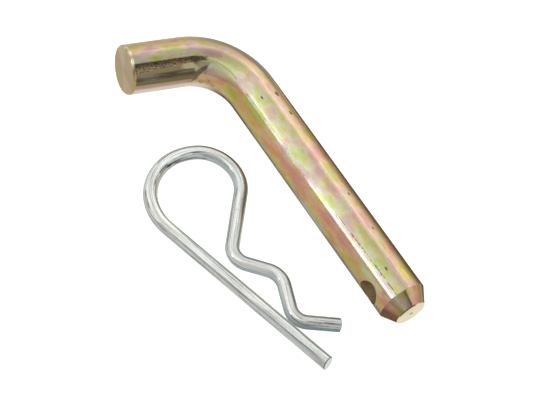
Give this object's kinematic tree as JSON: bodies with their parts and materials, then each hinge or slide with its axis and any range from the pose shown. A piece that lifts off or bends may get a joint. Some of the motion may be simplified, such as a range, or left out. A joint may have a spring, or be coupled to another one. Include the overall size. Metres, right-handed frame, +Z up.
{
  "type": "hitch pin lock",
  "caption": "Bent round steel hitch pin with a cross hole near its chamfered tip, and a loose wire spring clip that goes through the hole to lock it.",
  "frame": {"origin": "where the cross hole's axis meets the shaft's axis", "axes": "+X along the shaft towards its chamfered tip, +Z up and square to the plane that the pin and the clip are bent in; both pieces lie on the plane z = -7.94 mm"},
  "size_m": [0.1214, 0.0602, 0.0158],
  "materials": {
    "yellow_zinc_steel": "yellow zinc plated, glossy, with pink and green interference colours",
    "bright_zinc_wire": "bright zinc plated drawn wire, satin gloss"
  },
  "bodies": {
    "pin": {"hitch_pin": "yellow_zinc_steel"},
    "clip": {"clip_leg": "bright_zinc_wire"},
    "clip_arm": {"clip_spring_arm": "bright_zinc_wire"}
  },
  "joints": [
    {"name": "clip_lift", "type": "slide", "parent": "pin", "child": "clip", "axis": [0, 0, 1], "range_m": [0, 0.04]},
    {"name": "arm_flex", "type": "hinge", "parent": "clip", "child": "clip_arm", "pos_m": [-0.06933, -0.03861, -0.00571], "axis": [0, 0, 1], "range_deg": [0, 8], "stiffness_Nm_per_rad": 60}
  ]
}
